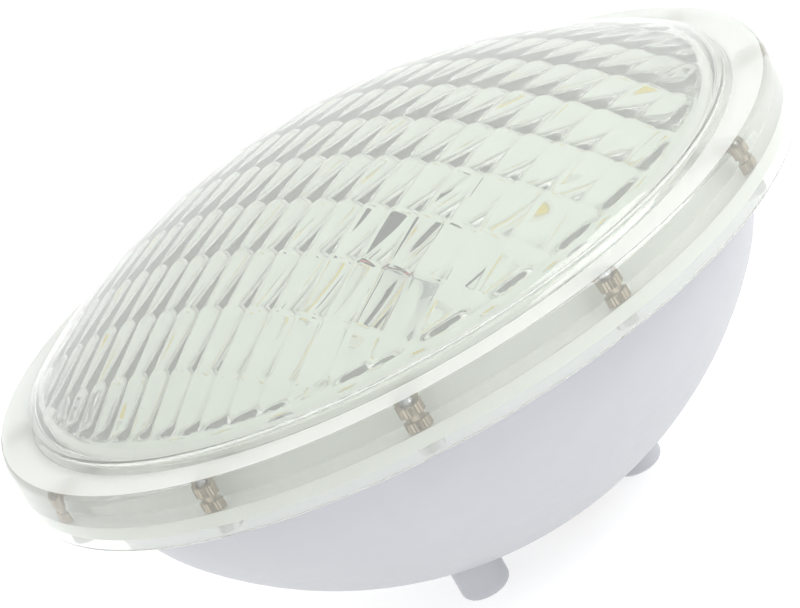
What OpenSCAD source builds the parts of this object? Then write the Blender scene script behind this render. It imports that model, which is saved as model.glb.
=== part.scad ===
// Underwater pool light: a 178 mm LED lamp with a clear screwed-on front cover and a white rear bowl.
// Frame: origin at the centre of the rim seat (the underside of the clear lip), +Z out of the front.

/* [Rim and cover] */
// outside diameter of the clear lip that sits in the wall niche
rim_d = 178; // [160:0.5:200]
// height of the rim, from the seat up to the flat front land
rim_h = 12.5; // [11.8:0.1:16]
// diameter of the outer edge of the flat front land
land_d = 174.8; // [160:0.1:176]
// rise of the front dome above its own edge
dome_rise = 23; // [10:0.5:30]
// wall of the front dome
dome_wall = 3; // [2:0.1:4]

/* [Rear bowl] */
// depth of the bowl's flat base below the seat
bowl_depth = 52; // [48:0.5:70]
// wall of the bowl
bowl_wall = 2.6; // [2:0.1:3.5]
// how far the rear posts stand below the flat base
post_drop = 6.6; // [5.5:0.1:14]
// diameter of each rear post
post_d = 10.8; // [8:0.1:12]
// diameter of the circle the rear posts stand on
post_circle_d = 50.2; // [46:0.1:60]

/* [Cover fixing] */
// number of cover screws and of the threaded inserts they go into
screw_count = 12; // [8:1:16]
// outside diameter of a threaded insert
insert_d = 5.2; // [4.8:0.1:5.6]
// thread diameter of the cover screws
screw_d = 3; // [2.5:0.1:3.2]

/* [LED board] */
// diameter of the LED board
board_d = 141; // [136:0.5:143]
// thickness of the LED board
board_t = 1.6; // [1:0.1:2]
// radial step between the rings of LEDs
led_ring_step = 15.6; // [14:0.1:15.8]

/* [Driver] */
// length of the driver board
driver_l = 64; // [60:0.5:72]
// width of the driver board
driver_w = 44; // [40:0.5:50]

/* [Supply terminals] */
// distance between the two terminal screws
terminal_pitch = 20; // [19:0.5:24]
// thread diameter of the terminal screws
terminal_d = 4; // [3:0.1:4]
// direction of the line through both terminals, midway between two rear posts
terminal_angle = -37; // [-45:1:-29]

/* [Hidden] */
$fn = 96;
eps = 0.01;                 // overlap that joins two solids of one piece
fit = 0.05;                 // running gap between a plain shank and its thread
gap = 0.1;                  // gap across the sealed joint
seat = 0.02;                // gap between pieces that rest on each other

rim_r = rim_d / 2;
land_r = land_d / 2;
lip_w = 1.7;                // width of the seat under the lip
seal_z = rim_h - 7.3;       // underside of the cover's ring body
wall_in_r = land_r - 9.9;   // inside of the cover's ring body
dome_r = land_r - 7.7;      // edge of the dome
dome_edge_z = rim_h + 2.5;
dome_R = (dome_r * dome_r + dome_rise * dome_rise) / (2 * dome_rise);
dome_top_z = dome_edge_z + dome_rise;
dome_c = dome_top_z - dome_R;

screw_r = land_r - 2.9;     // pitch radius of the cover screws
insert_l = rim_h - seal_z - 2.2;
insert_z = seal_z + gap;
screw_tip_z = insert_z + insert_l + 0.7;
first_screw = -96.6;        // angle of the first cover screw
cover_head_r = 2.6;         // radius of the cover screws' heads and washers
washer_under = 0.4;         // thickness of the washers

flange_r = rim_r - lip_w - 0.3;
flange_top = seal_z - gap;
flange_z = flange_top - 3;
collar_r = wall_in_r - 0.3; // outside of the collar that centres the cover
collar_top = rim_h - 0.8;
seal_r = wall_in_r + 2.1;   // centre line of the seal
seal_cord = 1.76;           // as squeezed
groove_w = 2.2;
groove_d = 1.7;

bowl_r = land_r - 11.8;     // outside of the bowl where it meets the flange
side_R = bowl_depth * 0.688;
side_c = bowl_r - side_R;   // centre of the side arc
arc_depth = bowl_depth + 3.4; // how deep the bottom arc would reach without the flat base
bed_R = (side_c * side_c + arc_depth * arc_depth - side_R * side_R) /
        (2 * (arc_depth - side_R));
bed_c = bed_R - arc_depth;  // height of the centre of the bottom arc
meet_angle = atan2(side_c, bed_c); // angle up the curve at which the two arcs meet
post_tip_z = -bowl_depth - post_drop;
post_angles = [-127, -7, 113];
post_pr = post_circle_d / 2;

spreader_t = 2.5;
spreader_z = 2.1;           // underside of the heat spreader
spreader_r = board_d / 2 + 2;
pad_t = 0.3;
board_z = spreader_z + spreader_t + pad_t;
board_top = board_z + board_t;
board_screw_r = board_d / 2 - 4.5;
board_screws_n = 6;
hole_r = 6;                 // lead hole in the middle of board and spreader
led_l = 3.5;
led_w = 2.8;
led_t = 0.8;
led_in_r = 13;              // innermost ring of LEDs
led_step = min(led_ring_step, (board_screw_r - 6 - led_in_r) / 3);
led_rings = [[led_in_r, 6, 0], [led_in_r + led_step, 12, 15], [led_in_r + 2 * led_step, 18, 14],
             [led_in_r + 3 * led_step, 24, 11.7]];

driver_z = -24;             // underside of the driver board
driver_t = 1.6;
driver_top = driver_z + driver_t;
driver_hole_x = driver_l / 2 - 5;
driver_hole_y = driver_w / 2 - 5;

coil_x = 11;
coil_y = 10.5;
core_in = 4;
core_out = 8;
core_h = 6;
core_z = driver_top + 1.2;

term_x = terminal_pitch / 2;
term_out_z = -bowl_depth - 0.5;   // outer face of the terminal bushes
term_in_z = -43.5;
bush_r = 3.5;
washer_t = 0.8;
term_head_h = 2.1;
term_head_r = 3.5;
lead_r = 0.9;
lead_h = 2.2;               // height of the LED leads' centre line above the board
lead_bend = 4;
red_d = 17;                 // how far from the centre the red lead is soldered
brown_d = 30;
supply_shift = 8;           // sideways step of each supply lead on its way up

// repeats its children evenly round the Z axis at a radius
module ring(n, r, start = 0) {
  for (i = [0 : n - 1])
    rotate([0, 0, start + i * 360 / n]) translate([r, 0, 0]) children();
}

// plain cylinder from z1 up to z2
module rod(r, z1, z2) {
  translate([0, 0, z1]) cylinder(r = r, h = z2 - z1);
}

// tube from z1 up to z2
module tube(ro, ri, z1, z2) {
  difference() {
    rod(ro, z1, z2);
    rod(ri, z1 - 1, z2 + 1);
  }
}

// box centred on X and Y, standing on z
module block(l, w, h, z) {
  translate([-l / 2, -w / 2, z]) cube([l, w, h]);
}

// quarter bend of a round lead: from pointing up at the origin to pointing along +X
module bend(r, bend_r) {
  translate([bend_r, 0, 0]) rotate([90, 0, 0]) rotate([0, 0, 90])
    rotate_extrude(angle = 90) translate([bend_r, 0]) circle(r = r);
}

// toothed disc, teeth round the outside
module toothed(r, depth, teeth, z1, z2) {
  translate([0, 0, z1]) linear_extrude(height = z2 - z1)
    polygon([for (i = [0 : 2 * teeth - 1])
      let (a = i * 180 / teeth, q = i % 2 == 0 ? r : r - depth) [q * cos(a), q * sin(a)]]);
}

// front cover: dome, flat land, rim wall with its lip, and the ring body that holds the inserts
module lens_cover() {
  color([0.86, 0.9, 0.87, 0.35])
  difference() {
    union() {
      intersection() {
        translate([0, 0, dome_c]) sphere(r = dome_R, $fn = 180);
        rod(dome_r, rim_h - 2, dome_top_z + 5);
      }
      rotate_extrude($fn = 180) polygon([
        [wall_in_r - 1, seal_z], [rim_r - lip_w, seal_z], [rim_r - lip_w, 0], [rim_r - 0.3, 0],
        [rim_r, 0.4], [rim_r - 0.5, rim_h - 1.9], [land_r + 1, rim_h - 1],
        [land_r + 0.6, rim_h - 0.35], [land_r, rim_h], [dome_r + 1, rim_h],
        [dome_r - eps, rim_h + 1.1], [wall_in_r - 1, rim_h + 1.1]]);
    }
    intersection() {
      translate([0, 0, dome_c]) sphere(r = dome_R - dome_wall, $fn = 180);
      rod(wall_in_r, 0, dome_top_z);
    }
    ring(screw_count, screw_r, first_screw) {
      rod(insert_d / 2 + fit, seal_z - 1, insert_z + insert_l + fit);
      rod(screw_d / 2 + 0.15, seal_z, screw_tip_z + 0.15);
    }
  }
}

// angle at which the bottom arc, shrunk by t, leaves the flat base
function base_angle(t) = acos((bed_c + bowl_depth - t) / (bed_R - t));

// half outline of the bowl shrunk by t, from the middle of its flat base up to z = 0:
// two arcs that meet smoothly
function bowl_curve(t) = concat(
  [[0, t - bowl_depth]],
  [for (i = [0 : 12]) let (a = base_angle(t) + i * (meet_angle - base_angle(t)) / 12)
    [(bed_R - t) * sin(a), bed_c - (bed_R - t) * cos(a)]],
  [for (i = [1 : 18]) let (a = meet_angle + i * (90 - meet_angle) / 18)
    [side_c + (side_R - t) * sin(a), -(side_R - t) * cos(a)]]);

// the bowl shrunk by t, filled in up to top_z
module bowl_solid(t, top_z) {
  rotate_extrude($fn = 180)
    polygon(concat(bowl_curve(t), [[bowl_r - t, top_z], [0, top_z]]));
}

// the filled bowl with its flange and the collar that centres the cover
module bowl_and_flange() {
  rotate_extrude($fn = 180) polygon(concat(bowl_curve(0), [
    [bowl_r, flange_z], [flange_r, flange_z], [flange_r, flange_top], [collar_r, flange_top],
    [collar_r, collar_top - 0.5], [collar_r - 0.5, collar_top], [0, collar_top]]));
}

// rear post with a rounded end, from the tip up into the bowl
module rear_post() {
  round_r = 2;
  rod(post_d / 2, post_tip_z + round_r, -bowl_depth / 2);
  rod(post_d / 2 - round_r, post_tip_z, post_tip_z + round_r + 1);
  translate([0, 0, post_tip_z + round_r])
    rotate_extrude() translate([post_d / 2 - round_r, 0]) circle(r = round_r);
}

// the place of one supply terminal
module at_terminal(side) {
  rotate([0, 0, terminal_angle]) translate([side * term_x, 0, 0]) children();
}

// the two places of the supply terminals
module at_terminals() {
  for (side = [-1, 1]) at_terminal(side) children();
}

// the four places of the driver screws
module at_driver_screws() {
  for (x = [-1, 1], y = [-1, 1]) translate([x * driver_hole_x, y * driver_hole_y, 0]) children();
}

// outside of a moulded-in terminal bush, grown by c
module bush_body(c) {
  rod(bush_r + c, term_out_z - c, term_in_z + c);
  rod(bush_r + 1 + c, term_in_z - 5 - c, term_in_z - 2.5 + c);
}

// rear housing: bowl, flange with seal groove, rear posts and inside bosses
module rear_housing() {
  color([0.9, 0.91, 0.92]) {
    difference() {
      union() {
        difference() {
          union() {
            bowl_and_flange();
            for (a = post_angles) rotate([0, 0, a]) translate([post_pr, 0, 0]) rear_post();
            at_terminals() rod(5.6, term_out_z + 0.2, -bowl_depth + 1);
          }
          bowl_solid(bowl_wall, collar_top + 1);
        }
        intersection() {
          union() {
            ring(board_screws_n, board_screw_r) rod(3.5, -bowl_depth, spreader_z - seat);
            at_driver_screws() rod(3, -bowl_depth, driver_z - seat);
            at_terminals() rod(5.6, -bowl_depth, term_in_z - 0.4);
          }
          bowl_solid(bowl_wall / 2, collar_top - 1);
        }
      }
      tube(seal_r + groove_w / 2, seal_r - groove_w / 2, flange_top - groove_d, flange_top + 1);
      ring(screw_count, screw_r, first_screw)
        rod(screw_d / 2 + 0.2, flange_z - 1, flange_top + 1);
      ring(board_screws_n, board_screw_r) rod(1.5 + fit, spreader_z - 10, spreader_z + 1);
      at_driver_screws() rod(1.25 + fit, driver_z - 8, driver_z + 1);
      for (a = post_angles) rotate([0, 0, a]) translate([post_pr, 0, 0])
        rod(post_d / 2 - bowl_wall, post_tip_z + bowl_wall, -bowl_depth / 2);
      at_terminals() bush_body(seat);
    }
  }
}

// seal ring squeezed between the flange and the cover
module cover_seal() {
  color([0.35, 0.36, 0.38])
  translate([0, 0, flange_top - groove_d + seal_cord / 2 + seat])
    rotate_extrude($fn = 180) translate([seal_r, 0]) circle(r = seal_cord / 2, $fn = 48);
}

// knurled inserts with a waist, moulded into the clear ring
module threaded_inserts() {
  band = insert_l * 0.38;
  color([0.66, 0.6, 0.5])
  ring(screw_count, screw_r, first_screw) difference() {
    union() {
      toothed(insert_d / 2, 0.25, 20, insert_z, insert_z + band);
      toothed(insert_d / 2, 0.25, 20, insert_z + insert_l - band, insert_z + insert_l);
      rod(insert_d / 2 - 0.7, insert_z, insert_z + insert_l);
    }
    rod(screw_d / 2 + fit, insert_z - 1, insert_z + insert_l + 1);
  }
}

// pan-head screw standing head down: shank from z1 up to z2, head below z1, hexagon socket
module screw_up(d, head_r, head_h, z1, z2) {
  difference() {
    union() {
      rod(d / 2, z1 - eps, z2 - 0.4);
      translate([0, 0, z2 - 0.4]) cylinder(r1 = d / 2, r2 = d / 2 - 0.4, h = 0.4);
      rod(head_r, z1 - head_h + 0.4, z1);
      translate([0, 0, z1 - head_h]) cylinder(r1 = head_r - 0.4, r2 = head_r, h = 0.4);
    }
    translate([0, 0, z1 - head_h - 1]) cylinder(r = d * 0.38, h = 1 + head_h * 0.6, $fn = 6);
  }
}

module cover_screws() {
  color([0.72, 0.72, 0.74])
  ring(screw_count, screw_r, first_screw)
    screw_up(screw_d, cover_head_r, 1.6, flange_z - washer_under - 2 * seat, screw_tip_z);
}

module cover_screw_washers() {
  color([0.8, 0.8, 0.82])
  ring(screw_count, screw_r, first_screw)
    tube(cover_head_r, screw_d / 2 + 0.2, flange_z - washer_under - seat, flange_z - seat);
}

// holes shared by the board, the pad and the spreader
module board_holes() {
  rod(hole_r, spreader_z - 1, board_top + 1);
  ring(board_screws_n, board_screw_r) rod(1.7, spreader_z - 1, board_top + 1);
}

module led_board() {
  color([0.93, 0.96, 0.93])
  difference() {
    rod(board_d / 2, board_z, board_top);
    board_holes();
  }
}

module thermal_pad() {
  color([0.6, 0.62, 0.66])
  difference() {
    rod(board_d / 2 - 1, board_z - pad_t + seat, board_z - seat);
    board_holes();
  }
}

module heat_spreader() {
  color([0.75, 0.76, 0.78])
  difference() {
    rod(spreader_r, spreader_z, spreader_z + spreader_t);
    board_holes();
  }
}

// the places of the LEDs, ring by ring
module at_leds() {
  for (row = led_rings) ring(row[1], row[0], row[2]) children();
}

module led_packages() {
  color([0.95, 0.95, 0.92])
  at_leds() difference() {
    block(led_w, led_l, led_t, board_top + seat);
    block(led_w - 0.7, led_l - 0.9, 1, board_top + 0.4);
  }
}

module led_phosphor() {
  color([0.95, 0.85, 0.25])
  at_leds() block(led_w - 0.76, led_l - 0.96, 0.34, board_top + 0.42);
}

module board_resistors() {
  color([0.15, 0.15, 0.16])
  ring(6, 20.5, 15) block(1.6, 3.2, 0.6, board_top + seat);
}

module board_screws() {
  color([0.72, 0.72, 0.74])
  ring(board_screws_n, board_screw_r) mirror([0, 0, 1])
    screw_up(3, 2.75, 1.8, -board_top - seat, -spreader_z + 9);
}

module lead_grommet() {
  color([0.2, 0.2, 0.21])
  rotate_extrude() polygon([
    [3.4, spreader_z - 1], [7.2, spreader_z - 1], [7.2, spreader_z - seat],
    [hole_r - 0.1, spreader_z - seat], [hole_r - 0.1, board_top + seat],
    [7.2, board_top + seat], [7.2, board_top + 0.8], [3.4, board_top + 0.8]]);
}

// LED lead: up through the grommet, over, and along to its solder joint at distance d
module led_lead(x, d) {
  rise_z = board_top + lead_h - lead_bend;
  translate([x, 0, 0]) rotate([0, 0, -90]) {
    rod(lead_r, driver_top + 0.3, rise_z);
    rod(lead_r / 2, driver_top + seat, driver_top + 1);
    translate([0, 0, rise_z]) bend(lead_r, lead_bend);
    translate([lead_bend, 0, board_top + lead_h]) rotate([0, 90, 0]) {
      rod(lead_r, -eps, d - lead_bend - 3);
      rod(lead_r / 2, 0, d - lead_bend);
    }
  }
}

module led_lead_red() {
  color([0.75, 0.08, 0.05]) led_lead(-1.6, red_d);
}

module led_lead_brown() {
  color([0.35, 0.2, 0.1]) led_lead(1.6, brown_d);
}

// domes of solder round the bare ends of the LED leads
module lead_solder_joints() {
  color([0.75, 0.75, 0.76])
  for (p = [[-1.6, red_d], [1.6, brown_d]]) translate([p[0], -p[1] + 1, 0]) difference() {
    intersection() {
      translate([0, 0, board_top]) sphere(r = 2.9);
      translate([-1.4, -2, board_top + seat]) cube([2.8, 4, 4]);
    }
    translate([0, 0, board_top + lead_h]) rotate([-90, 0, 0]) rod(lead_r / 2 + seat, -1 - seat, 9);
  }
}

// driver board with its screw holes and the holes of the supply leads
module driver_board() {
  color([0.1, 0.4, 0.2])
  difference() {
    block(driver_l, driver_w, driver_t, driver_z);
    at_driver_screws() rod(1.45, driver_z - 1, driver_top + 1);
    for (side = [-1, 1]) at_terminal(side) translate([side * supply_shift, 0, 0])
      rod(lead_r / 2 + fit, driver_z - 1, driver_top + 1);
  }
}

module driver_screws() {
  color([0.72, 0.72, 0.74])
  at_driver_screws() mirror([0, 0, 1])
    screw_up(2.5, 2.4, 1.6, -driver_top - seat, -driver_z + 7);
}

// rectifier block on four flat legs
module bridge_rectifier() {
  color([0.12, 0.12, 0.13])
  translate([-8.5, 12.5, 0]) {
    block(8.4, 6.4, 3.2, driver_top + 1);
    for (x = [-2.6, 2.6], y = [-3.6, 3.6]) translate([x, y, 0])
      block(1, 1, 2.6, driver_top + seat);
  }
}

// upright cans with a rolled groove near the foot and a dished top
module smoothing_capacitors() {
  can_r = 4.8;
  can_h = 13;
  color([0.2, 0.22, 0.35])
  for (y = [-9, 1]) translate([-24.5, y, driver_top + seat]) rotate_extrude() polygon([
    [0, 0], [can_r, 0], [can_r, 1.4], [can_r - 0.5, 1.9], [can_r, 2.4], [can_r, can_h - 0.5],
    [can_r - 0.5, can_h], [can_r - 1, can_h], [can_r - 1.2, can_h - 0.35], [0, can_h - 0.35]]);
}

module inductor_core() {
  color([0.3, 0.33, 0.3])
  translate([coil_x, coil_y, 0]) tube(core_out, core_in, core_z, core_z + core_h);
}

// turns of enamelled wire round the core
module inductor_winding() {
  wire = 0.8;
  room = 0.1;
  band = core_out - core_in + 2 * room;
  color([0.72, 0.38, 0.15])
  translate([coil_x, coil_y, 0]) ring(14, (core_out + core_in) / 2) difference() {
    block(band + 2 * wire, wire, core_h + 2 * room + 2 * wire, core_z - room - wire);
    block(band, wire + 1, core_h + 2 * room, core_z - room);
  }
}

// small-outline chip with eight legs
module driver_chip() {
  color([0.1, 0.1, 0.11])
  translate([9, -12, 0]) {
    block(4, 5, 1.4, driver_top + 0.2);
    for (k = [-1.5 : 1 : 1.5]) translate([0, k * 1.27, 0]) block(6, 0.45, 0.6, driver_top + seat);
  }
}

module chip_capacitors() {
  color([0.7, 0.55, 0.4])
  for (x = [19.5, 23, 26.5]) translate([x, -8.5, 0]) block(1.6, 3.2, 1.3, driver_top + seat);
}

// round fuse on two short feet
module fuse() {
  color([0.2, 0.12, 0.1])
  translate([-8.5, -13.5, 0]) {
    rod(4.1, driver_top + 0.6, driver_top + 7.6);
    for (x = [-2.5, 2.5]) translate([x, 0, 0]) rod(0.5, driver_top + seat, driver_top + 1);
  }
}

// supply lead from a terminal's inner pin, stepped sideways and up into the driver board
module supply_lead(side) {
  mid_z = term_in_z + 6.5;
  start_z = term_in_z + 1.2;
  step = supply_shift / 2;
  turn = side > 0 ? 0 : 180;
  at_terminal(side) rotate([0, 0, turn]) {
    difference() {
      union() {
        rod(lead_r, start_z, mid_z);
        translate([0, 0, mid_z]) bend(lead_r, step);
      }
      rod(0.55 + seat, start_z - 1, term_in_z + 4 + seat);
    }
    translate([supply_shift, 0, mid_z + 2 * step]) rotate([0, 180, 0]) bend(lead_r, step);
    translate([supply_shift, 0, 0]) {
      rod(lead_r, mid_z + 2 * step - eps, driver_z - seat);
      rod(lead_r / 2, mid_z + 2 * step, driver_top + 0.8);
    }
  }
}

module supply_lead_left() {
  color([0.12, 0.12, 0.12]) supply_lead(-1);
}

module supply_lead_right() {
  color([0.55, 0.56, 0.58]) supply_lead(1);
}

// brass bushes moulded into the bowl: blind thread outside, solder pin inside
module terminal_bushes() {
  color([0.8, 0.66, 0.3])
  at_terminals() {
    difference() {
      bush_body(0);
      rod(terminal_d / 2 + fit, term_out_z - 1, term_out_z + 7.5);
    }
    rod(0.55, term_in_z - 1, term_in_z + 4);
  }
}

// slotted cheese-head screw, head outside the bowl
module terminal_screw() {
  head_z = term_out_z - washer_t - 2 * fit;
  color([0.8, 0.68, 0.35])
  difference() {
    union() {
      rod(terminal_d / 2, head_z - eps, term_out_z + 6);
      translate([0, 0, term_out_z + 6]) cylinder(r1 = terminal_d / 2, r2 = terminal_d / 2 - 0.5, h = 0.5);
      rod(term_head_r, head_z - term_head_h + 0.3, head_z);
      translate([0, 0, head_z - term_head_h])
        cylinder(r1 = term_head_r - 0.3, r2 = term_head_r, h = 0.3);
    }
    block(term_head_r * 3, 0.9, 2.1, head_z - term_head_h - 1);
  }
}

module terminal_washer() {
  color([0.78, 0.74, 0.55])
  tube(4.2, terminal_d / 2 + 0.15, term_out_z - washer_t - fit, term_out_z - fit);
}

module terminal_screw_left() {
  at_terminal(-1) terminal_screw();
}

module terminal_screw_right() {
  at_terminal(1) terminal_screw();
}

module terminal_washer_left() {
  at_terminal(-1) terminal_washer();
}

module terminal_washer_right() {
  at_terminal(1) terminal_washer();
}

lens_cover();
rear_housing();
cover_seal();
threaded_inserts();
cover_screws();
cover_screw_washers();
led_board();
thermal_pad();
heat_spreader();
led_packages();
led_phosphor();
board_resistors();
board_screws();
lead_grommet();
led_lead_red();
led_lead_brown();
lead_solder_joints();
driver_board();
driver_screws();
bridge_rectifier();
smoothing_capacitors();
inductor_core();
inductor_winding();
driver_chip();
chip_capacitors();
fuse();
supply_lead_left();
supply_lead_right();
terminal_bushes();
terminal_screw_left();
terminal_screw_right();
terminal_washer_left();
terminal_washer_right();
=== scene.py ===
# %% [markdown]
# # Underwater pool light
# A sealed lamp for the wall of a pool: a clear polycarbonate cover with pillow lenses moulded on
# its inside, a white moulded bowl behind it, and a ring of small screws that pull the two
# together. The CAD model gives every piece its place. This file gives the pieces their looks.
#
# The numbers below are in metres and Z points out of the front of the lamp. Z = 0 is the seat,
# the underside of the clear lip.

import math

import bpy
import numpy as np
from mathutils import Matrix, Vector


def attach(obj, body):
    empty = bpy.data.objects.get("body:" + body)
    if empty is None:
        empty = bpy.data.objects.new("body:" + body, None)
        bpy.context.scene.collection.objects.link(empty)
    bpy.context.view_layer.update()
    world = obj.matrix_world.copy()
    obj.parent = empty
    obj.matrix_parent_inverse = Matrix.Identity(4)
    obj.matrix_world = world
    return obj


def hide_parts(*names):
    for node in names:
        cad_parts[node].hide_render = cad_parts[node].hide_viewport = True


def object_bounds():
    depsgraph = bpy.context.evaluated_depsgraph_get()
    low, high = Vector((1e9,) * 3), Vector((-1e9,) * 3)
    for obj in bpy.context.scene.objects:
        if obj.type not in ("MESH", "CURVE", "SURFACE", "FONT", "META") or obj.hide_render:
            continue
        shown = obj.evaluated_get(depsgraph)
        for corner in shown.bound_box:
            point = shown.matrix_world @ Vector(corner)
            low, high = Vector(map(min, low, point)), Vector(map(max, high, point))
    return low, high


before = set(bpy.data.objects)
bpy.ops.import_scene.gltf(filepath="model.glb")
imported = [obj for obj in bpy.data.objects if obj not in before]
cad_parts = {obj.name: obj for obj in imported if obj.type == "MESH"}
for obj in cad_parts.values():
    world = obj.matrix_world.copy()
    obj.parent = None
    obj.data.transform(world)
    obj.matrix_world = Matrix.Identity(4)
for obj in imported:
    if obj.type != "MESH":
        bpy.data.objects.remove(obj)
cad_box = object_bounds()
print("CAD box", cad_box)
print("nodes", len(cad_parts))

# %% [markdown]
# ## Two small tools
# Colours are easier to read as sRGB hex values, but the renderer works in linear light, so one
# function turns one into the other. The second helper adds a shader node, sets its values and
# joins its inputs in one line, which keeps each material short enough to read as a recipe.

# %% Colour and node helpers
MM = 0.001


def linear(hex_colour):
    """sRGB hex to linear RGBA: each channel c becomes c/12.92 below 0.04045, else ((c+0.055)/1.055)^2.4."""
    c = np.array([int(hex_colour[i : i + 2], 16) for i in (1, 3, 5)]) / 255
    c = np.where(c <= 0.04045, c / 12.92, ((c + 0.055) / 1.055) ** 2.4)
    return (*c.tolist(), 1.0)


def add(tree, kind, links=None, **settings):
    """Adds one node. Names in settings are properties or input sockets; links maps input to an output."""
    node = tree.nodes.new(kind)
    for key, value in settings.items():
        if hasattr(node, key):
            setattr(node, key, value)
        else:
            node.inputs[key.replace("_", " ")].default_value = value
    for key, source in (links or {}).items():
        tree.links.new(source, node.inputs[key])
    return node


def new_material(name, colour, roughness, metallic=0.0, **shader):
    """A material with one Principled shader. Gives it, its tree, its shader and Object coordinates."""
    made = bpy.data.materials.new(name)
    made.use_nodes = True
    tree = made.node_tree
    surface = tree.nodes["Principled BSDF"]
    surface.inputs["Base Color"].default_value = linear(colour)
    surface.inputs["Roughness"].default_value = roughness
    surface.inputs["Metallic"].default_value = metallic
    for key, value in shader.items():
        surface.inputs[key.replace("_", " ")].default_value = value
    place = tree.nodes.new("ShaderNodeTexCoord").outputs["Object"]
    return made, tree, surface, place


# %% [markdown]
# ## Moulded plastic, metal and rubber
# Most small pieces need the same two things on top of their colour: a slight change of gloss from
# place to place, and a fine bump from how the surface was made. Both come from noise whose grain
# is a real size in millimetres, so one function serves every finish and each call says what the
# material is. A second noise, 14 times coarser, moves the colour in soft clouds, as real plastic and
# metal are never one even tone.

# %% Finish with a fine grain
CLOUD_TO_GRAIN = 14
GLOSS_SPREAD = 0.08
GRAIN_STRENGTH = 0.6
FINE, SOFT = 4.0, 2.0


def noise(tree, place, size, detail):
    """A noise texture whose lumps are about the given size across, in metres."""
    return add(tree, "ShaderNodeTexNoise", {"Vector": place}, Scale=1 / size, Detail=detail)


def grained(name, colour, darker, roughness, grain_mm, bump_mm, metallic=0.0, stretch=(1, 1, 1)):
    """The coarse noise mixes two tones; the fine one moves roughness by +-GLOSS_SPREAD and the bump."""
    made, tree, surface, place = new_material(name, colour, roughness, metallic)
    stretched = add(tree, "ShaderNodeMapping", {"Vector": place}, Scale=stretch).outputs[0]
    grain = noise(tree, stretched, grain_mm * MM, FINE)
    cloud = noise(tree, place, grain_mm * CLOUD_TO_GRAIN * MM, SOFT)
    tone = add(tree, "ShaderNodeMix", {"Factor": cloud.outputs["Fac"]}, data_type="RGBA")
    tone.inputs["A"].default_value = linear(colour)
    tone.inputs["B"].default_value = linear(darker)
    tree.links.new(tone.outputs["Result"], surface.inputs["Base Color"])
    gloss = add(tree, "ShaderNodeMapRange", {"Value": grain.outputs["Fac"]})
    gloss.inputs["To Min"].default_value = roughness - GLOSS_SPREAD
    gloss.inputs["To Max"].default_value = roughness + GLOSS_SPREAD
    tree.links.new(gloss.outputs[0], surface.inputs["Roughness"])
    bump = add(tree, "ShaderNodeBump", {"Height": grain.outputs["Fac"]}, Distance=bump_mm * MM)
    bump.inputs["Strength"].default_value = GRAIN_STRENGTH
    tree.links.new(bump.outputs[0], surface.inputs["Normal"])
    return made


# %% [markdown]
# ## Clear cover material
# The cover is injection-moulded polycarbonate. It bends light strongly (IOR about 1.585) and has a
# smooth outside with a faint green tint. A seventh of its light scatters as a white haze, chosen
# because a fully clear cover shows the board too sharply and looks like glass. The flat front
# land, the wall's inner face and the seal face are frosted, chosen so the rim looks white behind
# the metal inserts. A very slight waviness, with waves about 18 mm long, stands for the flow of
# the plastic in the mould.

# %% Clear and frosted polycarbonate
CLEAR_TINT = "#FAFDF8"
POLYCARBONATE_IOR = 1.585
CLEAR_SHARE, FROST_SHARE = 0.86, 0.55
FLOW_WAVE, FLOW_DEPTH = 18 * MM, 0.25 * MM
FROST_GRAIN, FROST_DEPTH = 0.35 * MM, 0.006 * MM
FROST_ROUGHNESS = (0.36, 0.5)


def polycarbonate(name, roughness, share, wave, detail, depth, strength):
    """Plastic that lets the given share of light through; a noise of the given size is its bump."""
    made, tree, surface, place = new_material(
        name, CLEAR_TINT, roughness, IOR=POLYCARBONATE_IOR, Transmission_Weight=share
    )
    waves = noise(tree, place, wave, detail)
    bump = add(tree, "ShaderNodeBump", {"Height": waves.outputs["Fac"]}, Strength=strength, Distance=depth)
    tree.links.new(bump.outputs[0], surface.inputs["Normal"])
    return made, tree, surface, waves


CLEAR, _, _, _ = polycarbonate(
    "clear moulded polycarbonate",
    roughness=0.03,
    share=CLEAR_SHARE,
    wave=FLOW_WAVE,
    detail=SOFT,
    depth=FLOW_DEPTH,
    strength=0.35,
)
# on frost the same noise also moves the roughness, so the frost is not one flat sheen
FROST, frost_tree, frost_surface, frost_waves = polycarbonate(
    "frosted polycarbonate",
    roughness=0.42,
    share=FROST_SHARE,
    wave=FROST_GRAIN,
    detail=3.0,
    depth=FROST_DEPTH,
    strength=0.4,
)
frost_gloss = add(frost_tree, "ShaderNodeMapRange", {"Value": frost_waves.outputs["Fac"]})
frost_gloss.inputs["To Min"].default_value = FROST_ROUGHNESS[0]
frost_gloss.inputs["To Max"].default_value = FROST_ROUGHNESS[1]
frost_tree.links.new(frost_gloss.outputs[0], frost_surface.inputs["Roughness"])
print(CLEAR.name, CLEAR_SHARE, "clear;", FROST.name, FROST_SHARE, "clear")

# %% [markdown]
# ## From arrays to a mesh
# The cover's points are worked out as whole arrays. One function turns points and faces into an
# object that sits at the origin, unturned and unscaled.


# %% Mesh maker
def make_piece(name, points, face_arrays, materials, face_material, smooth_angle):
    """Joins arrays of faces (one row per face) into one mesh, smooth except where it turns sharply."""
    faces = sum((block.tolist() for block in face_arrays), [])
    mesh = bpy.data.meshes.new(name)
    mesh.from_pydata(points.tolist(), [], faces)
    for finish in materials:
        mesh.materials.append(finish)
    mesh.polygons.foreach_set("material_index", face_material.astype(np.int32))
    mesh.polygons.foreach_set("use_smooth", np.ones(len(mesh.polygons), dtype=bool))
    mesh.update()
    mesh.validate()
    mesh.set_sharp_from_angle(angle=math.radians(smooth_angle))
    piece = bpy.data.objects.new(name, mesh)
    bpy.context.scene.collection.objects.link(piece)
    print(name, len(points), "points", len(faces), "faces")
    return piece


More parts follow.
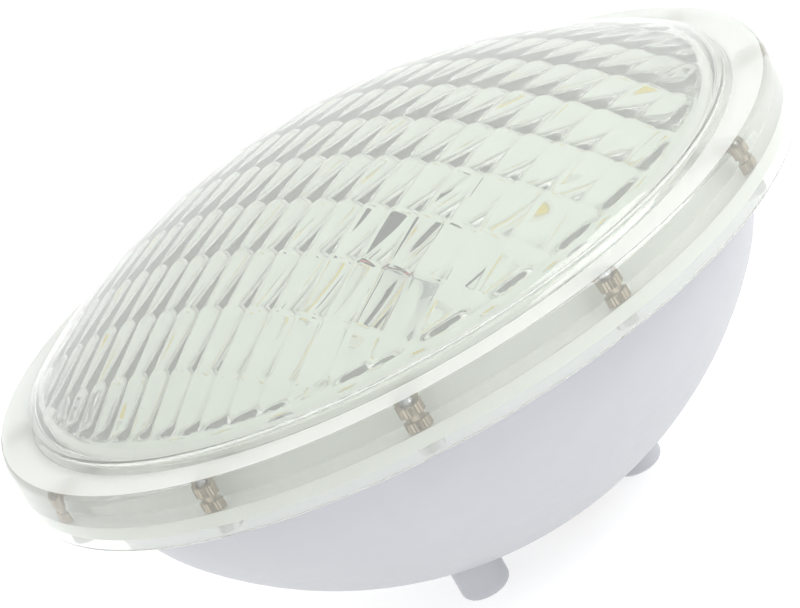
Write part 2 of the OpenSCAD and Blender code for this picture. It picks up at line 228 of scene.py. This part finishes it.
# %% [markdown]
# ## Outline of the cover
# The outside is a shallow ball's cap that meets a flat frosted land, and then a wall that drops
# almost straight down to the lip. All of it is one outline turned about Z. The wall leans out by
# about half a millimetre, the draft that lets a moulding leave its mould.

# %% Sizes of the cover
RIM_R = 89.0 * MM
RIM_H = 12.5 * MM
LAND_R = 87.4 * MM
LIP_W = 1.7 * MM
DOME_R = 79.7 * MM
DOME_EDGE_Z = 15.0 * MM
DOME_RISE = 23.0 * MM
DOME_WALL = 3.0 * MM
WALL_IN_R = 77.5 * MM
SEAL_Z = 5.2 * MM
BALL_R = (DOME_R**2 + DOME_RISE**2) / (2 * DOME_RISE)
BALL_C = DOME_EDGE_Z + DOME_RISE - BALL_R
PATTERN_R = 74.4 * MM
PATTERN_FADE = 2.0 * MM
print("dome radius", round(BALL_R / MM, 1), "mm, top at", round((BALL_C + BALL_R) / MM, 1), "mm")
print("rim radius", RIM_R / MM, "mm, and in the CAD box", round(cad_box[1][0] / MM, 2), "mm")


def rounded(corners, radii, steps=5):
    """Outline with rounded corners: each one becomes points of a quadratic curve between its legs."""
    out = [np.array(corners[0])[None]]
    for k in range(1, len(corners) - 1):
        before, corner, after = (np.array(corners[j], dtype=float) for j in (k - 1, k, k + 1))
        a = corner + (before - corner) / np.linalg.norm(before - corner) * radii[k]
        b = corner + (after - corner) / np.linalg.norm(after - corner) * radii[k]
        t = np.linspace(0, 1, steps)[:, None]
        out.append((1 - t) ** 2 * a + 2 * t * (1 - t) * corner + t**2 * b)
    out.append(np.array(corners[-1])[None])
    return np.concatenate(out)


# %% [markdown]
# ## Pillow lenses
# The inside of the dome carries rows of small pillows. Each one is a shallow barrel-shaped bulge,
# about 6.6 mm wide and 13.6 mm long, and neighbours meet in sharp valleys. On a grid that runs along
# the rows, the bulge is a height added along the dome's own inward direction:
# height = a (1 - (2u/w)^2) + b (1 - (2v/l)^2), with u and v counted from the pillow's middle.
# The heights fade to nothing over the last 2 mm, so the pattern ends in a smooth circle.

# %% Inside of the dome with its pillows
CELL_W = 6.56 * MM
CELL_L = 13.64 * MM
ROW_ANGLE = math.radians(-52.4)
BULGE_W = 0.28 * MM
BULGE_L = 0.57 * MM
SUB_W, SUB_L = 8, 14


def inner_ball_z(r):
    """Height of the smooth inside of the dome at radius r."""
    return BALL_C + np.sqrt((BALL_R - DOME_WALL) ** 2 - r**2)


def pillow_height(u, v):
    """a (1 - (2u/w)^2) + b (1 - (2v/l)^2), where u and v are counted from the nearest pillow's middle."""
    fu = u / CELL_W - np.round(u / CELL_W)
    fv = v / CELL_L - np.round(v / CELL_L)
    return BULGE_W * (1 - (2 * fu) ** 2) + BULGE_L * (1 - (2 * fv) ** 2)


print("pillow height in the middle", (BULGE_W + BULGE_L) / MM, "mm")

# %% [markdown]
# ## Cutting the pillows to a disc
# The grid of points follows the rows, so every valley runs along an edge of the mesh and stays
# sharp. Points just outside the circle are pulled onto it, which gives the disc a clean rim that
# the rest of the cover can join.


# %% Grid cut to a disc
def pillow_disc():
    """Grid along the pillow rows, cut to a disc; the first points outside it are pulled onto its circle.

    Gives the points, the faces, and the points on the circle in clockwise order.
    """
    nu = int(math.ceil(PATTERN_R / CELL_W)) + 1
    nv = int(math.ceil(PATTERN_R / CELL_L)) + 1
    iu = np.arange(-nu * SUB_W, nu * SUB_W + 1)
    iv = np.arange(-nv * SUB_L, nv * SUB_L + 1)
    u, v = np.meshgrid(iu / SUB_W * CELL_W, iv / SUB_L * CELL_L, indexing="ij")
    bulge = pillow_height(u, v)
    r = np.hypot(u, v)
    pull = np.where(r > PATTERN_R, PATTERN_R / np.maximum(r, 1e-9), 1.0)
    u, v = u * pull, v * pull
    bulge = bulge * np.clip((PATTERN_R - np.hypot(u, v)) / PATTERN_FADE, 0, 1)
    c, s = math.cos(ROW_ANGLE), math.sin(ROW_ANGLE)
    x, y = u * c - v * s, u * s + v * c
    z = inner_ball_z(np.hypot(x, y))
    normal = np.stack([x, y, z - BALL_C], -1) / (BALL_R - DOME_WALL)
    points = np.stack([x, y, z], -1) - normal * bulge[..., None]
    inside = r <= PATTERN_R
    some = inside[:-1, :-1] | inside[1:, :-1] | inside[1:, 1:] | inside[:-1, 1:]
    index = np.arange(u.size).reshape(u.shape)
    quads = np.stack([index[:-1, :-1], index[:-1, 1:], index[1:, 1:], index[1:, :-1]], -1)[some]
    used, quads = np.unique(quads, return_inverse=True)
    points = points.reshape(-1, 3)[used]
    edge = np.flatnonzero(~inside.ravel()[used])
    return points, quads.reshape(-1, 4), edge[np.argsort(-np.arctan2(points[edge, 1], points[edge, 0]))]


disc_points, disc_faces, loop = pillow_disc()
print("pillow disc", len(disc_points), "points, edge of", len(loop))

# %% [markdown]
# ## Rest of the outline
# From just outside the pattern the outline goes out to the inner wall, down it to the seal face,
# out to the lip, up the rim wall, across the land and into the root of the dome. The corners of a
# moulding are never quite sharp, so each has a small radius, given here in millimetres. The cap
# of the dome closes the shape.

# %% Outline under and round the rim
RIM_LEAN = 0.5 * MM
SHOULDER_OUT, SHOULDER_DOWN = 0.9 * MM, 0.9 * MM
SHOULDER_FOOT = 1.7 * MM
LAND_EDGE = 0.4 * MM
DOME_ROOT, DOME_ROOT_RISE = 0.9 * MM, 1.1 * MM
PATTERN_TO_WALL = 1.5 * MM
WALL_ROOT_DROP = 0.6 * MM
CAP_RINGS = 60

pattern_side = WALL_IN_R - PATTERN_TO_WALL
corners_and_radii = [
    (pattern_side, inner_ball_z(pattern_side), 0),
    (WALL_IN_R, inner_ball_z(WALL_IN_R) - WALL_ROOT_DROP, 1.0),
    (WALL_IN_R, SEAL_Z, 0.2),
    (RIM_R - LIP_W, SEAL_Z, 0.2),
    (RIM_R - LIP_W, 0, 0.2),
    (RIM_R, 0, 0.35),
    (RIM_R - RIM_LEAN, RIM_H - SHOULDER_FOOT, 0.4),
    (LAND_R + SHOULDER_OUT, RIM_H - SHOULDER_DOWN, 0.3),
    (LAND_R + LAND_EDGE, RIM_H, 0.4),
    (DOME_R + DOME_ROOT, RIM_H, 0.5),
    (DOME_R, RIM_H + DOME_ROOT_RISE, 0.3),
    (DOME_R, DOME_EDGE_Z, 0),
]
under = rounded([place[:2] for place in corners_and_radii], [place[2] * MM for place in corners_and_radii])
cap_r = np.sqrt(np.linspace(1, 0, CAP_RINGS)[1:-1]) * DOME_R
cap = np.stack([cap_r, BALL_C + np.sqrt(BALL_R**2 - cap_r**2)], -1)
outline = np.concatenate([under, cap])
print("outline", len(outline), "points,", len(under), "of them under and round the rim")

# %% [markdown]
# ## One closed shell
# The pillow disc ends in a ring of points at uneven angles. The rest of the cover is the outline
# turned to those same angles, so the two join point to point and the cover is one closed shell.

# %% Points and faces of the cover
rim_points = disc_points[loop]
angle = np.arctan2(rim_points[:, 1], rim_points[:, 0])
radius, height_up = outline[:, None, 0], np.repeat(outline[:, 1:2], len(angle), 1)
rings = np.stack([radius * np.cos(angle)[None], radius * np.sin(angle)[None], height_up], -1)
ring_index = len(disc_points) + np.arange(rings.shape[0] * rings.shape[1]).reshape(rings.shape[:2])
top = len(disc_points) + ring_index.size
points = np.concatenate([disc_points, rings.reshape(-1, 3), [[0, 0, BALL_C + BALL_R]]])
rows = np.concatenate([loop[None], ring_index])
after = np.roll(rows, -1, 1)
walls = np.stack([rows[:-1], rows[1:], after[1:], after[:-1]], -1).reshape(-1, 4)
fan = np.stack([rows[-1], np.full(len(loop), top), after[-1]], -1)
print("rings", len(ring_index), "of", len(loop), "points")

# %% [markdown]
# ## Frosted bands
# Each band of faces between two rings is clear or frosted as a whole. The middle of a band tells
# where it lies: on the flat land, on the inner wall or on the seal face.

# %% Where the cover is frosted
NEAR = 0.1 * MM
CLEAR_SLOT, FROST_SLOT = 0, 1
SHARP_ANGLE = 25

row_r = np.hypot(points[rows[:, 0], 0], points[rows[:, 0], 1])
row_z = points[rows[:, 0], 2]
band_r, band_z = (row_r[1:] + row_r[:-1]) / 2, (row_z[1:] + row_z[:-1]) / 2
on_land = (np.abs(band_z - RIM_H) < NEAR / 2) & (band_r > DOME_R + 2 * NEAR)
on_inner_wall = (band_r < WALL_IN_R + NEAR) & (band_z < RIM_H) & (band_z > SEAL_Z - NEAR)
on_seal_face = (band_z < SEAL_Z + NEAR) & (band_z > SEAL_Z - NEAR)
frosted_band = on_land | on_inner_wall | on_seal_face
print("frosted bands", int(frosted_band.sum()), "of", len(frosted_band))

face_material = np.full(len(disc_faces) + len(walls) + len(fan), CLEAR_SLOT)
band_of_wall = np.repeat(np.arange(len(frosted_band)), len(loop))
wall_material = np.where(frosted_band[band_of_wall], FROST_SLOT, CLEAR_SLOT)
face_material[len(disc_faces) : len(disc_faces) + len(walls)] = wall_material
cover_faces = [disc_faces, walls, fan]
cover = make_piece("front_cover", points, cover_faces, [CLEAR, FROST], face_material, SHARP_ANGLE)
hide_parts("lens_cover")
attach(cover, "lamp")

# %% [markdown]
# ## White bowl
# The bowl is injection-moulded polycarbonate filled with white, with a fine satin grain. Under an
# even white surround a pure white would look flat, so the bowl's tone is painted shade, set darker
# to keep its round shape readable. The collar and flange that reach into the clear cover keep the
# unshaded white, so the cover's wall stays bright. One material makes both: the height of a point,
# read from its Object coordinates, mixes the painted shade and the white over less than a millimetre.

# %% White moulded polycarbonate
# below the seat the bowl carries painted shade; the collar and flange above it keep the unshaded white
UNSHADED_FROM, UNSHADED_TO = 0.2 * MM, 1.0 * MM
UNSHADED_WHITE = "#FAFBFA"
WHITE_SHELL = grained("white moulded polycarbonate", "#BBBDC2", "#B7B9BE", 0.4, 0.5, 0.01)
shell_tree = WHITE_SHELL.node_tree
shell_surface = shell_tree.nodes["Principled BSDF"]
shell_place = shell_tree.nodes["Texture Coordinate"].outputs["Object"]
height = add(shell_tree, "ShaderNodeSeparateXYZ", {"Vector": shell_place})
unshaded = add(shell_tree, "ShaderNodeMapRange", {"Value": height.outputs["Z"]})
unshaded.inputs["From Min"].default_value = UNSHADED_FROM
unshaded.inputs["From Max"].default_value = UNSHADED_TO
shell_tone = add(shell_tree, "ShaderNodeMix", {"Factor": unshaded.outputs[0]}, data_type="RGBA")
# the grained grey tone is the painted shade of the bowl
painted_shade_tone = shell_surface.inputs["Base Color"].links[0].from_socket
shell_tree.links.new(painted_shade_tone, shell_tone.inputs["A"])
shell_tone.inputs["B"].default_value = linear(UNSHADED_WHITE)
shell_tree.links.new(shell_tone.outputs["Result"], shell_surface.inputs["Base Color"])
print(WHITE_SHELL.name, "turns clean white from", UNSHADED_FROM / MM, "to", UNSHADED_TO / MM, "mm")

# %% [markdown]
# ## Metals
# A metal has no colour under its gloss: the base colour is the colour of its reflection. The
# inserts are brass with a dull nickel plate, so they are warm grey with darker patches. The screws
# are plain stainless steel and the terminals are turned brass, both with a fine grain. The heat
# spreader is rolled sheet, and its grain is stretched along the rolling.

# %% Inserts, screws, terminals and heat spreader
NICKEL_BRASS = grained("dull nickel on brass", "#C6B8A4", "#9C8D79", 0.34, 0.4, 0.02, 1.0)
STAINLESS = grained("stainless steel", "#C3C3C6", "#A9A9AD", 0.3, 0.3, 0.01, 1.0)
BRASS = grained("plain turned brass", "#CDB06A", "#B39350", 0.3, 0.3, 0.01, 1.0)
ALUMINIUM = grained("rolled aluminium", "#D2D3D6", "#BEBFC3", 0.32, 0.25, 0.008, 1.0, stretch=(1, 0.06, 1))
# solder cools with a bright skin that is wrinkled on a scale of half a millimetre
SOLDER = grained("bright solder", "#C9C9CC", "#AFAFB4", 0.25, 0.6, 0.03, 1.0)
# lacquer over drawn copper: smooth, reddish, glossier than bare wire
COPPER = grained("enamelled copper", "#B0622C", "#8F4A1E", 0.28, 0.5, 0.01, 1.0)
print("metals", [m.name for m in (NICKEL_BRASS, STAINLESS, BRASS, ALUMINIUM, SOLDER, COPPER)])

# %% [markdown]
# ## Rubber and silicone
# The seal, the heat pad and the leads are soft and matt: high roughness and no strong highlight.
# The leads' insulation is pressed smooth through a die, so it shines a little more than the seal.

# %% Seal, pad, grommet and leads
GREY_SILICONE = grained("grey silicone", "#8D9094", "#7F8287", 0.55, 0.6, 0.02)
HEAT_PAD = grained("soft heat pad", "#9A9DA4", "#8E9198", 0.8, 0.4, 0.03)
BLACK_RUBBER = grained("black rubber", "#1F1F20", "#171718", 0.65, 0.4, 0.03)
RED_LEAD = grained("red silicone insulation", "#D8200F", "#C41A0C", 0.45, 0.5, 0.01)
BROWN_LEAD = grained("brown silicone insulation", "#6A3A1E", "#593018", 0.45, 0.5, 0.01)
BLACK_LEAD = grained("black silicone insulation", "#242424", "#1A1A1A", 0.45, 0.5, 0.01)
GREY_LEAD = grained("grey silicone insulation", "#8C8E92", "#7C7E82", 0.45, 0.5, 0.01)
print("soft", [m.name for m in (GREY_SILICONE, HEAT_PAD, BLACK_RUBBER)])
print("leads", [m.name for m in (RED_LEAD, BROWN_LEAD, BLACK_LEAD, GREY_LEAD)])

# %% [markdown]
# ## Boards and their parts
# The LED board carries a white solder mask, a lacquer that sends stray light back out of the
# lamp. The driver board under it has the common green one. Phosphor windows are silicone with
# yellow powder in it, so they are satin and speckled. Chips and the rectifier are pressed from a
# black compound with a sandy face, ferrite is a dark grey ceramic, and the capacitors wear a
# glossy shrink sleeve.

# %% Boards, LEDs and driver parts
SOLDER_MASK = grained("white solder mask", "#F6FAF5", "#F0F6F0", 0.45, 0.8, 0.01)
GREEN_BOARD = grained("green solder mask", "#1E6B3A", "#185A30", 0.35, 0.6, 0.01)
LED_BODY = grained("white LED moulding", "#F1F1EA", "#E6E6DD", 0.5, 0.3, 0.01)
PHOSPHOR = grained("yellow phosphor in silicone", "#EEDC52", "#E2C93C", 0.35, 0.12, 0.02)
BLACK_MOULDING = grained("black moulding compound", "#26272A", "#1D1E20", 0.5, 0.15, 0.02)
BLUE_SLEEVE = grained("shrink sleeve", "#2C3358", "#252B4C", 0.28, 0.8, 0.01)
FERRITE = grained("ferrite", "#3C3F3D", "#313432", 0.6, 0.2, 0.03)
CHIP_CERAMIC = grained("ceramic chip", "#B79A74", "#A68A66", 0.5, 0.2, 0.01)
FUSE_BODY = grained("moulded fuse body", "#3A2620", "#2E1D18", 0.3, 0.4, 0.01)
print("boards", [m.name for m in (SOLDER_MASK, GREEN_BOARD, LED_BODY, PHOSPHOR, BLACK_MOULDING)])
print("parts", [m.name for m in (BLUE_SLEEVE, FERRITE, CHIP_CERAMIC, FUSE_BODY)])

# %% [markdown]
# ## Giving each node its finish
# A table names the finish of every piece that keeps its CAD shape. The loop clears what the mesh
# came with and gives it its one material.

# %% Finishes for the CAD nodes
FINISH = {
    "rear_housing": WHITE_SHELL,
    "cover_seal": GREY_SILICONE,
    "threaded_inserts": NICKEL_BRASS,
    "cover_screws": STAINLESS,
    "cover_screw_washers": STAINLESS,
    "led_board": SOLDER_MASK,
    "thermal_pad": HEAT_PAD,
    "heat_spreader": ALUMINIUM,
    "led_packages": LED_BODY,
    "led_phosphor": PHOSPHOR,
    "board_resistors": BLACK_MOULDING,
    "board_screws": STAINLESS,
    "lead_grommet": BLACK_RUBBER,
    "led_lead_red": RED_LEAD,
    "led_lead_brown": BROWN_LEAD,
    "lead_solder_joints": SOLDER,
    "driver_board": GREEN_BOARD,
    "driver_screws": STAINLESS,
    "bridge_rectifier": BLACK_MOULDING,
    "smoothing_capacitors": BLUE_SLEEVE,
    "inductor_core": FERRITE,
    "inductor_winding": COPPER,
    "driver_chip": BLACK_MOULDING,
    "chip_capacitors": CHIP_CERAMIC,
    "fuse": FUSE_BODY,
    "supply_lead_left": BLACK_LEAD,
    "supply_lead_right": GREY_LEAD,
    "terminal_bushes": BRASS,
    "terminal_screw_left": BRASS,
    "terminal_screw_right": BRASS,
    "terminal_washer_left": BRASS,
    "terminal_washer_right": BRASS,
}
for node, finish in FINISH.items():
    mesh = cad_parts[node].data
    mesh.materials.clear()
    mesh.materials.append(finish)
    print(node, len(mesh.polygons), "faces:", finish.name)

# %% [markdown]
# ## Studio
# The lamp stands on its three posts. Under them is a plain sheet of pale paper, lit from behind as
# on a product photographer's table, so the shadow stays faint. A white surround lights the lamp
# from all sides, and one large soft lamp on the right shades the bowl and the dome gently.

# %% Floor
FLOOR_Z = float(cad_box[0][2])
FLOOR_HALF = 6.0
FLOOR_GLOW = 0.68
floor_corners = np.array([(-1, -1), (1, -1), (1, 1), (-1, 1)]) * FLOOR_HALF
floor_points = np.column_stack([floor_corners, np.full(4, FLOOR_Z)])
floor_mesh = bpy.data.meshes.new("studio_floor")
floor_mesh.from_pydata(floor_points.tolist(), [], [(0, 1, 2, 3)])
floor = bpy.data.objects.new("studio_floor", floor_mesh)
bpy.context.scene.collection.objects.link(floor)
white_glow = {"Emission_Color": (1, 1, 1, 1), "Emission_Strength": FLOOR_GLOW}
floor_mesh.materials.append(new_material("pale backlit studio paper", "#AFAFAF", 0.9, **white_glow)[0])
print("floor at", round(FLOOR_Z / MM, 2), "mm")

# %% Light
SURROUND_STRENGTH = 1.13
KEY_PLACE = (0.9, -0.4, 0.9)
KEY_SIZE = (0.8, 0.8)
KEY_WATTS = 11

world = bpy.data.worlds.new("studio")
world.use_nodes = True
surround = world.node_tree.nodes["Background"]
surround.inputs["Color"].default_value = linear("#FFFFFF")
surround.inputs["Strength"].default_value = SURROUND_STRENGTH
bpy.context.scene.world = world


def soft_lamp(name, place, size, watts):
    """An area light of the given size in metres at a place, turned to face the origin."""
    data = bpy.data.lights.new(name, "AREA")
    data.shape = "RECTANGLE"
    data.size, data.size_y = size
    data.energy = watts
    lamp = bpy.data.objects.new(name, data)
    lamp.location = place
    lamp.rotation_euler = (-Vector(place)).to_track_quat("-Z", "Y").to_euler()
    bpy.context.scene.collection.objects.link(lamp)
    return lamp


key = soft_lamp("key_softbox", KEY_PLACE, KEY_SIZE, KEY_WATTS)
print(key.name, KEY_WATTS, "W, surround", SURROUND_STRENGTH)

# %% [markdown]
# ## Camera
# A long lens from 0.9 metres keeps the rim's ellipse almost even. The camera looks from about 19
# degrees above the plane of the rim and is rolled, so the lamp leans to the left as if tipped.

# %% Camera
ELEVATION = math.radians(18.93)
ROLL = math.radians(-29.55)
DISTANCE = 0.885
SENSOR, LENS = 36, 194.75
SHIFT_X, SHIFT_Y = 0.030, -0.080
NEAREST = 0.05

back = np.array([0, -math.cos(ELEVATION), math.sin(ELEVATION)])
right = np.array([1.0, 0, 0])
up = np.cross(back, right)
cam_x = math.cos(ROLL) * right + math.sin(ROLL) * up
cam_y = -math.sin(ROLL) * right + math.cos(ROLL) * up
target = np.array([0, 0, RIM_H])
camera_data = bpy.data.cameras.new("camera")
camera_data.sensor_width = SENSOR
camera_data.lens = LENS
camera_data.shift_x = SHIFT_X
camera_data.shift_y = SHIFT_Y
camera_data.clip_start = NEAREST
camera = bpy.data.objects.new("camera", camera_data)
place = np.eye(4)
place[:3, 0], place[:3, 1], place[:3, 2], place[:3, 3] = cam_x, cam_y, back, target + DISTANCE * back
camera.matrix_world = Matrix(place.tolist())
bpy.context.scene.collection.objects.link(camera)
bpy.context.scene.camera = camera
bpy.context.scene.view_settings.view_transform = "Standard"
print("camera at", np.round(target + DISTANCE * back, 3).tolist())
